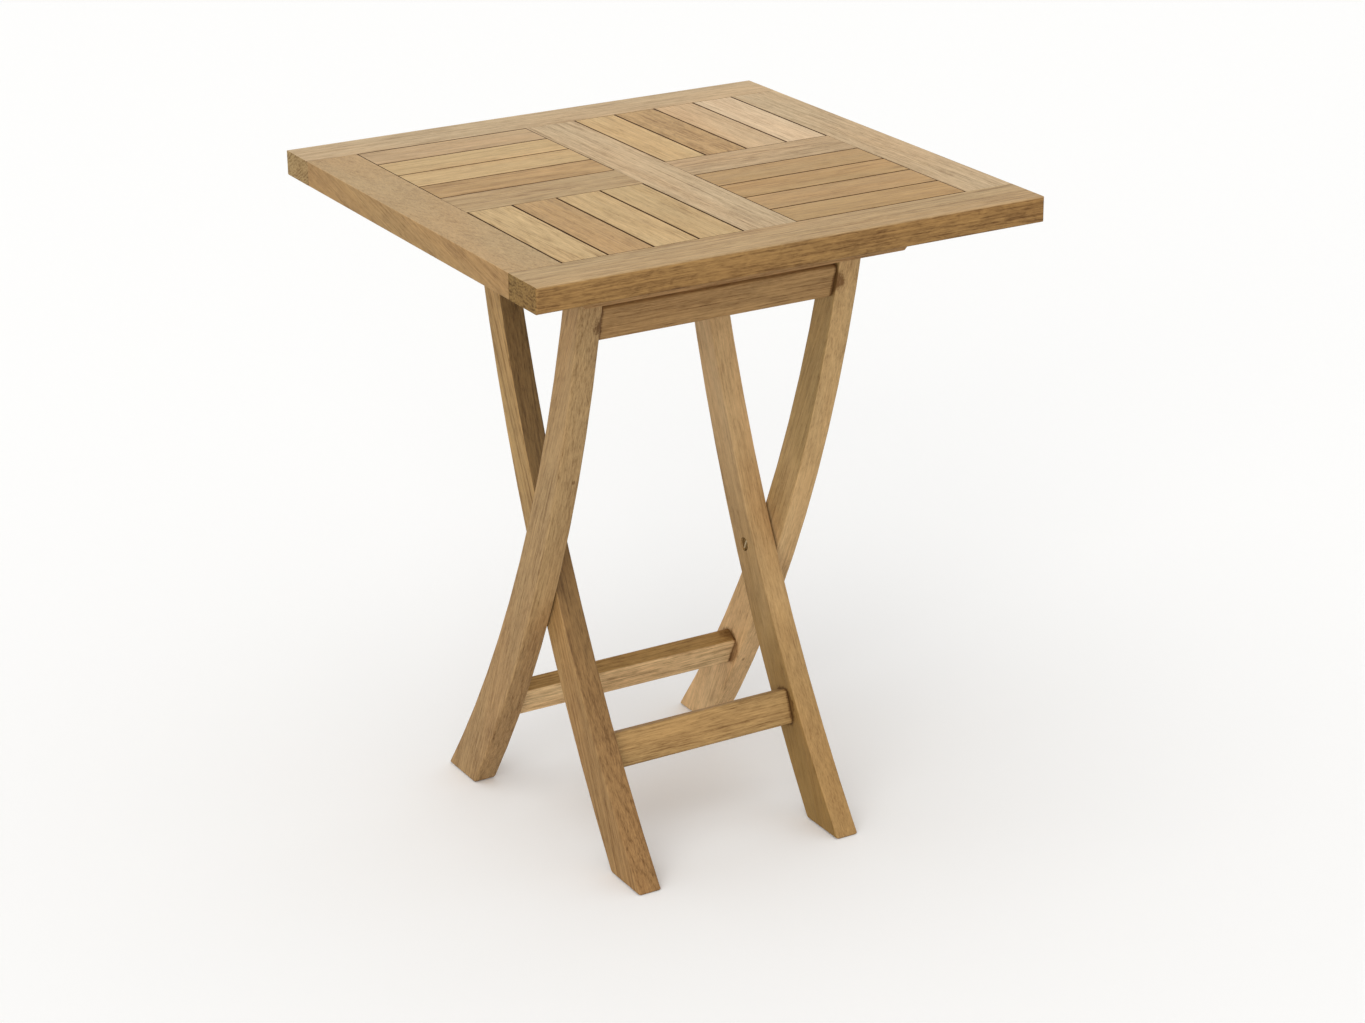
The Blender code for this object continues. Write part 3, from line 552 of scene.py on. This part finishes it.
def slat_look(group, place):
    """Seed and grain of a slat by its group and its place there, so that no two are alike."""
    pith = (30.0 + 53.0 * ((group * 3 + place * 2) % 5), 40.0 + 22.0 * ((group + place * 3) % 4))
    spacing = 3.4 + 0.7 * ((group + 2 * place) % 4)
    figure = 0.20 + 0.10 * ((2 * group + place) % 3)
    seed = 8.0 + group * 4.37 + place * 1.91
    return seed, dict(pith=pith, spacing=spacing, figure=figure, streak=0.48)


def dress_top():
    for name, (grain, width, tone, seed, options) in BOARDS.items():
        material = teak(name, grain, width, tone, seed, gaps=True, **options)
        finish_node(name, material, BOARD_EASE)
    for group, (prefix, (grain, width, tones)) in enumerate(SLATS.items()):
        for place, tone in enumerate(tones):
            name = f"{prefix}{place + 1}"
            seed, options = slat_look(group, place)
            options.update(SLAT_OPTIONS.get(name, {}))
            material = teak(name, grain, width, tone, seed, gaps=True, **options)
            finish_node(name, material, SLAT_EASE)


# ---- legs and rails -----------------------------------------------------------------------
LEG_EASE = 0.0006
RAIL_EASE = 0.0008
LEG_DEPTH = 0.05      # about how deep a leg is from front to back at its ends


def leg_direction(name):
    """The direction of the straight board that a curved leg was sawn from."""
    low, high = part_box(name)
    forward = 1.0 if name.startswith("inner") else -1.0
    return Vector((0.0, forward * (high.y - low.y - LEG_DEPTH), high.z - low.z))


LEGS = {
    # name: (seed, options)
    "outer_leg_left": (30.0, dict(
        tone="leg_a", foot_painted_light_tone="leg_a_foot", pith=(45.0, 70.0), spacing=4.2, figure=0.5,
        streak=0.6)),
    "outer_leg_right": (33.3, dict(
        tone="leg_b", foot_painted_light_tone="leg_b_foot", front_painted_light_tone="leg_b_front", pith=(75.0, 85.0),
        spacing=5.0, figure=0.35, streak=0.38)),
    "inner_leg_left": (36.6, dict(
        tone="leg_d", foot_painted_light_tone="leg_d_foot", front_painted_light_tone="leg_d_front",
        front_foot_painted_light_tone="leg_d_front_foot", pith=(20.0, 60.0), spacing=6.0, figure=0.9,
        streak=0.6)),
    "inner_leg_right": (39.9, dict(
        tone="leg_c", foot_painted_light_tone="leg_c_foot", front_painted_light_tone="leg_c_front",
        front_foot_painted_light_tone="leg_c_front_foot", pith=(110.0, 50.0), spacing=4.4, figure=0.35,
        streak=0.36)),
}
RAILS = {
    # name: (tone, front tone, seed); the low rail's front tone is painted light
    "outer_top_rail": ("rail_top", "rail_top", 50.0),
    "outer_bottom_rail": ("rail_low", "rail_low_front", 52.7),
    "inner_top_rail": ("rail_top", "rail_top", 55.4),
    "inner_bottom_rail": ("rail_inner", "rail_inner", 58.1),
    "catch_rail": ("rail", "rail", 60.8),
    "hinge_rail": ("rail", "rail", 63.5),
}
KNOTS = {
    # leg: place of a pin knot
    "outer_leg_left": Vector((-0.1519, -0.0852, 0.4500)),
    "outer_leg_right": Vector((0.1550, 0.0750, 0.1100)),
}
GRIME_AND_SHADE_REACH = 0.004                           # how far squeeze-out and painted shade reach past a rail
SQUEEZE_OUT_AND_SHADE = (0.8, 0.80, 0.45)         # strength, core, ragged
PIN_KNOT = (0.0042, 0.0026, 0.8, 0.3, 0.5)      # length, width, strength, core, ragged
# dark rail ends at the legs: partly a glue line, partly painted shade
RAIL_END_GLUE_AND_SHADE = (0.0045, 1.0, 1.0, 0.2, 0.7)         # the same, and wider than any rail
LOW_RAIL_MARK = (0.022, 0.020, 0.85, 0.35, 0.6)


def leg_shoulder(name):
    """How far from the middle a rail's shoulder meets its legs."""
    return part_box(name.split("_")[0] + "_leg_right")[0].x


def leg_stains_and_joint_shade(leg):
    """Dark squeeze-out and painted shade on a leg around each rail that is let into it, and its pin
    knot.
    """
    side = -1.0 if leg.endswith("left") else 1.0
    stains_and_shade = []
    for rail in RAILS:
        if rail.startswith(leg.split("_")[0]):
            low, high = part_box(rail)
            middle = (low + high) / 2
            place = Vector((side * leg_shoulder(rail), middle.y, middle.z))
            stains_and_shade.append((place, (high.z - low.z) / 2 + GRIME_AND_SHADE_REACH, (high.y - low.y) / 2 + GRIME_AND_SHADE_REACH,
                           *SQUEEZE_OUT_AND_SHADE))
    if leg in KNOTS:
        stains_and_shade.append((KNOTS[leg], *PIN_KNOT))
    return stains_and_shade


def rail_stains_and_end_shade(name):
    """Dark ends where a rail meets its legs, partly glue line and partly painted shade. The catch
    and hinge rails have none.
    """
    if not name.startswith(("outer", "inner")):
        return []
    low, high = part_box(name)
    middle = (low + high) / 2
    shoulder = leg_shoulder(name)
    stains_and_shade = [(Vector((side * shoulder, middle.y, middle.z)), *RAIL_END_GLUE_AND_SHADE) for side in (-1, 1)]
    if name == "outer_bottom_rail":
        stains_and_shade.append((Vector((shoulder, middle.y, high.z)), *LOW_RAIL_MARK))
    return stains_and_shade


def dress_legs():
    for name, (seed, options) in LEGS.items():
        material = teak(name, leg_direction(name), X, seed=seed, patch=0.6, mottle=0.35,
                        stains_and_shade=leg_stains_and_joint_shade(name), **options)
        finish_node(name, material, LEG_EASE)
    for i, (name, (tone, front_painted_light_tone, seed)) in enumerate(RAILS.items()):
        material = teak(name, X, Y, tone, seed, front_painted_light_tone=front_painted_light_tone, pith=(40.0 + 18 * i, 60.0),
                        spacing=4.0, figure=0.6, patch=0.7, mottle=0.5, stains_and_shade=rail_stains_and_end_shade(name))
        finish_node(name, material, RAIL_EASE)


# ---- fixings ------------------------------------------------------------------------------
TURN_STEPS = 64
SHARP_TURN = radians(38)
SLOT_EASE = 0.00008
SLOT_CORNER = radians(50)
METAL_EASE = 0.0002

BOLT_HEAD = 0.0036            # height of the head
BOLT_SHANK = 0.0039           # radius
BOLT_CROWN = 0.0005
CROWN_SHARE = 0.93            # of the head's radius that the crown takes
CROWN_STEPS = 6
HEAD_ROUND = 0.0004
HEAD_CHAMFER = 0.0002
BOLT_TIP = 0.0011             # how much thinner the tip is than the shank
BOLT_PITCH = 0.00125
BOLT_THREAD = 0.00035
THREAD_STARTS = 0.5           # share of the bolt's length
THREAD_STOPS = 0.001          # short of the tip
RUNOUT = 0.0008
BOLT_SLOT = (0.0020, 0.0015)  # width, depth

SCREW_SHANK = 0.0021          # radius
SCREW_RIM = 0.0002
SCREW_PITCH = 0.0020
SCREW_THREAD = 0.00045
SCREW_THREAD_STARTS = 0.35
SCREW_POINT = 0.006
SCREW_RUNOUT = 0.0055
SCREW_SLOT = (0.0010, 0.0009)

SCISSOR_SLOT_TURN = 26        # degrees
HINGE_SLOT_TURN = (28, 47)    # degrees for node number 0, and more for each node after it
SCREW_SLOT_TURN = (15, 61)

# dark brown for the steel fixings
DARK_BROWN_STEEL = (0.27, 0.155, 0.035)
# the slot lining: a painted highlight, pale where the slot would lie in shade
SLOT_PAINTED_HIGHLIGHT = (0.98, 0.88, 0.66)
DULL_BRASS = (0.62, 0.47, 0.25)


def turned(name, profile, place, material):
    """A closed turned piece. profile lists (place along the axis, radius) end to end."""
    bm = bmesh.new()
    verts = [bm.verts.new((along, radius, 0.0)) for along, radius in profile]
    for a, b in zip(verts, verts[1:]):
        bm.edges.new((a, b))
    bmesh.ops.spin(bm, geom=bm.verts[:] + bm.edges[:], cent=(0.0, 0.0, 0.0), axis=(1.0, 0.0, 0.0),
                   angle=2 * pi, steps=TURN_STEPS, use_merge=True)
    bmesh.ops.remove_doubles(bm, verts=bm.verts, dist=0.000001)
    bmesh.ops.recalc_face_normals(bm, faces=bm.faces)
    bm.transform(place)
    mesh = bpy.data.meshes.new(name)
    bm.to_mesh(mesh)
    bm.free()
    mesh.materials.append(material)
    obj = bpy.data.objects.new(name, mesh)
    bpy.context.scene.collection.objects.link(obj)
    return obj


def thread(start, end, radius, pitch, depth):
    """Profile points of thread ridges from start to end."""
    count = int((end - start) / pitch)
    return [(start + (i + share) * pitch, radius - below)
            for i in range(count)
            for share, below in ((0.15, depth), (0.45, 0.0), (0.55, 0.0), (0.85, depth))]


def cut_slot(obj, place, length, slot, turn, inside):
    """Cuts a slot across the head at the origin of place.

    slot is its width and depth, and inside is the material that lines it, a painted highlight.
    """
    width, depth = slot
    bm = bmesh.new()
    bmesh.ops.create_cube(bm, size=1.0)
    size = Matrix.Diagonal((depth * 2, width, length, 1.0))
    bm.transform(place @ Matrix.Rotation(turn, 4, "X") @ size)
    mesh = bpy.data.meshes.new(obj.name + "_slot")
    bm.to_mesh(mesh)
    bm.free()
    mesh.materials.append(inside)
    cutter = bpy.data.objects.new(mesh.name, mesh)
    bpy.context.scene.collection.objects.link(cutter)
    modifier = obj.modifiers.new("slot", "BOOLEAN")
    modifier.operation = "DIFFERENCE"
    modifier.object = cutter
    modifier.solver = "EXACT"
    modifier.material_mode = "TRANSFER"
    ease = obj.modifiers.new("ease", "BEVEL")
    ease.width = SLOT_EASE
    ease.limit_method = "ANGLE"
    ease.angle_limit = SLOT_CORNER
    bpy.context.view_layer.update()
    done = bpy.data.meshes.new_from_object(obj.evaluated_get(bpy.context.evaluated_depsgraph_get()))
    obj.modifiers.clear()
    obj.data = done
    bpy.data.objects.remove(cutter, do_unlink=True)


def stand_for(obj, node):
    """Finishes a new fixing and puts it in the place of its CAD node."""
    obj.data.shade_smooth()
    obj.data.set_sharp_from_angle(angle=SHARP_TURN)
    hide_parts(node)
    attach(obj, BODY_OF[node])


def build_bolt(node, material, slot_highlight, slot_turn):
    """A slotted cheese-head bolt with a crowned head and a threaded end."""
    low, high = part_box(node)
    near, far = sorted((low.x, high.x), key=abs)
    head_x, tip_x = (far, near) if node.startswith("hinge") else (near, far)
    length, head_radius = abs(tip_x - head_x), (high.y - low.y) / 2
    profile = [(0.0, 0.0)]
    for i in range(1, CROWN_STEPS + 1):
        around = i * pi / (2 * CROWN_STEPS)
        profile.append((BOLT_CROWN * (1 - cos(around)), head_radius * CROWN_SHARE * sin(around)))
    profile += [(BOLT_CROWN + HEAD_ROUND, head_radius), (BOLT_HEAD - HEAD_CHAMFER, head_radius),
                (BOLT_HEAD, head_radius - HEAD_CHAMFER), (BOLT_HEAD, BOLT_SHANK),
                (length * THREAD_STARTS, BOLT_SHANK)]
    profile += thread(length * THREAD_STARTS, length - THREAD_STOPS, BOLT_SHANK, BOLT_PITCH,
                      BOLT_THREAD)
    profile += [(length - RUNOUT, BOLT_SHANK - BOLT_THREAD), (length, BOLT_SHANK - BOLT_TIP),
                (length, 0.0)]
    place = Matrix.Translation((head_x, (low.y + high.y) / 2, (low.z + high.z) / 2))
    if tip_x < head_x:
        place = place @ Matrix.Rotation(pi, 4, "Z")
    bolt = turned(node + "_turned", profile, place, material)
    cut_slot(bolt, place, head_radius * 3, BOLT_SLOT, slot_turn, slot_highlight)
    stand_for(bolt, node)


def build_screw(node, material, slot_highlight, slot_turn):
    """A slotted countersunk wood screw, point up."""
    low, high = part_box(node)
    head_radius = (high.x - low.x) / 2
    length = high.z - low.z
    cone = head_radius - SCREW_SHANK
    profile = [(0.0, 0.0), (0.0, head_radius - SCREW_RIM / 2), (SCREW_RIM, head_radius),
               (cone, SCREW_SHANK), (length * SCREW_THREAD_STARTS, SCREW_SHANK)]
    profile += thread(length * SCREW_THREAD_STARTS, length - SCREW_POINT, SCREW_SHANK,
                      SCREW_PITCH, SCREW_THREAD)
    profile += [(length - SCREW_RUNOUT, SCREW_SHANK - SCREW_THREAD), (length, 0.0)]
    upright = Matrix.Rotation(-pi / 2, 4, "Y")
    place = Matrix.Translation(((low.x + high.x) / 2, (low.y + high.y) / 2, low.z)) @ upright
    screw = turned(node + "_turned", profile, place, material)
    cut_slot(screw, place, head_radius * 3, SCREW_SLOT, slot_turn, slot_highlight)
    stand_for(screw, node)


def spread_turn(turn, i):
    """A slot's turn for node number i, so that the slots don't all point the same way."""
    first, step = turn
    return radians(first + step * i)


def dress_fixings():
    steel = metal("dark_brown_steel", DARK_BROWN_STEEL, roughness=0.60, metallic=0.75)
    # the slots are lined with a painted highlight
    slot_highlight = metal("slot_painted_highlight", SLOT_PAINTED_HIGHLIGHT, roughness=0.40, metallic=0.35)
    brass = metal("dull_brass", DULL_BRASS, roughness=0.50)
    for i, name in enumerate(sorted(NODES)):
        if name.startswith("scissor_bolt"):
            build_bolt(name, steel, slot_highlight, radians(SCISSOR_SLOT_TURN))
        elif "_bolt_" in name:
            build_bolt(name, steel, slot_highlight, spread_turn(HINGE_SLOT_TURN, i))
        elif "_screw_" in name:
            build_screw(name, steel, slot_highlight, spread_turn(SCREW_SLOT_TURN, i))
        elif SLOT_OF[name] == "fixing_steel":
            finish_node(name, steel, METAL_EASE)
        elif SLOT_OF[name] == "insert_brass":
            finish_node(name, brass, METAL_EASE)


# ---- floor, light and camera --------------------------------------------------------------
FLOOR_RADIUS = 30.0
FLOOR_GAP = 0.0002                        # how far the floor lies below the feet
FLOOR_SEEN = (0.995, 0.995, 0.99, 1.0)    # to the camera
FLOOR_BOUNCE = (0.58, 0.57, 0.55, 1.0)    # to the table
FLOOR_SHINE = 0.1
BACKDROP_SEEN = (0.97, 0.97, 0.965, 1.0)
SKY_COLOUR = (1.0, 1.0, 1.0, 1.0)
SKY_FILL = 0.80
SUN_COLOUR = (1.0, 0.985, 0.955)
SUNS = {
    # name: (direction toward it, width in degrees, strength)
    "overhead": ((-0.55, -0.30, 1.2), 50, 0.40),
    "front": ((-0.85, -1.00, 0.35), 45, 1.10),
}
CAMERA_PLACE = (-1.6183, -2.8792, 1.6629)
CAMERA_FORWARD = (0.4621, 0.8069, -0.3678)
CAMERA_RIGHT = (0.8677, -0.4969, -0.0123)
SENSOR_WIDTH = 36.0       # mm
LENS = 83.35              # mm


def build_floor():
    """A pale floor that bounces less light than it shows. The camera sees through it from below."""
    bm = bmesh.new()
    bmesh.ops.create_circle(bm, cap_ends=True, segments=96, radius=FLOOR_RADIUS)
    mesh = bpy.data.meshes.new("floor")
    bm.to_mesh(mesh)
    bm.free()
    floor = bpy.data.objects.new("floor", mesh)
    floor.location.z = -FLOOR_GAP
    bpy.context.scene.collection.objects.link(floor)
    material = bpy.data.materials.new("floor_paint")
    material.use_nodes = True
    tree = Tree(material.node_tree)
    shader = material.node_tree.nodes["Principled BSDF"]
    seen = tree.node("ShaderNodeLightPath").outputs["Is Camera Ray"]
    speckle = tree.noise(tree.node("ShaderNodeTexCoord").outputs["Object"], 3.0, 0.5)
    tree.link(tree.mix(seen, FLOOR_BOUNCE, FLOOR_SEEN), shader.inputs["Base Color"])
    tree.link(tree.remap(speckle, 0.0, 1.0, 0.80, 0.90), shader.inputs["Roughness"])
    shader.inputs["Specular IOR Level"].default_value = FLOOR_SHINE
    behind = tree.node("ShaderNodeNewGeometry").outputs["Backfacing"]
    cleared = tree.node("ShaderNodeMixShader")
    tree.link(tree.math("MULTIPLY", behind, seen), cleared.inputs["Fac"])
    tree.link(shader.outputs[0], cleared.inputs[1])
    tree.link(tree.node("ShaderNodeBsdfTransparent").outputs[0], cleared.inputs[2])
    tree.link(cleared.outputs[0], material.node_tree.nodes["Material Output"].inputs["Surface"])
    mesh.materials.append(material)


def build_light():
    """An even sky, seen by the camera as a pale backdrop, and two soft suns."""
    world = bpy.data.worlds.new("studio")
    bpy.context.scene.world = world
    world.use_nodes = True
    tree = Tree(world.node_tree)
    fill = world.node_tree.nodes["Background"]
    fill.inputs["Color"].default_value = SKY_COLOUR
    fill.inputs["Strength"].default_value = SKY_FILL
    backdrop = tree.node("ShaderNodeBackground")
    backdrop.inputs["Color"].default_value = BACKDROP_SEEN
    either = tree.node("ShaderNodeMixShader")
    tree.link(tree.node("ShaderNodeLightPath").outputs["Is Camera Ray"], either.inputs["Fac"])
    tree.link(fill.outputs[0], either.inputs[1])
    tree.link(backdrop.outputs[0], either.inputs[2])
    tree.link(either.outputs[0], world.node_tree.nodes["World Output"].inputs["Surface"])

    for name, (toward, spread, energy) in SUNS.items():
        light = bpy.data.lights.new(name, "SUN")
        light.angle = radians(spread)
        light.energy = energy
        light.color = SUN_COLOUR
        lamp = bpy.data.objects.new(name, light)
        lamp.rotation_euler = Vector(toward).to_track_quat("Z", "Y").to_euler()
        bpy.context.scene.collection.objects.link(lamp)


def build_camera():
    data = bpy.data.cameras.new("camera")
    data.sensor_width = SENSOR_WIDTH
    data.lens = LENS
    camera = bpy.data.objects.new("camera", data)
    forward = Vector(CAMERA_FORWARD).normalized()
    right = Vector(CAMERA_RIGHT)
    right = (right - forward * right.dot(forward)).normalized()
    turn = Matrix((right, right.cross(forward), -forward)).transposed().to_4x4()
    camera.matrix_world = Matrix.Translation(CAMERA_PLACE) @ turn
    bpy.context.scene.collection.objects.link(camera)
    bpy.context.scene.camera = camera
    bpy.context.scene.view_settings.view_transform = "Standard"


dress_top()
dress_legs()
dress_fixings()
build_floor()
build_light()
build_camera()
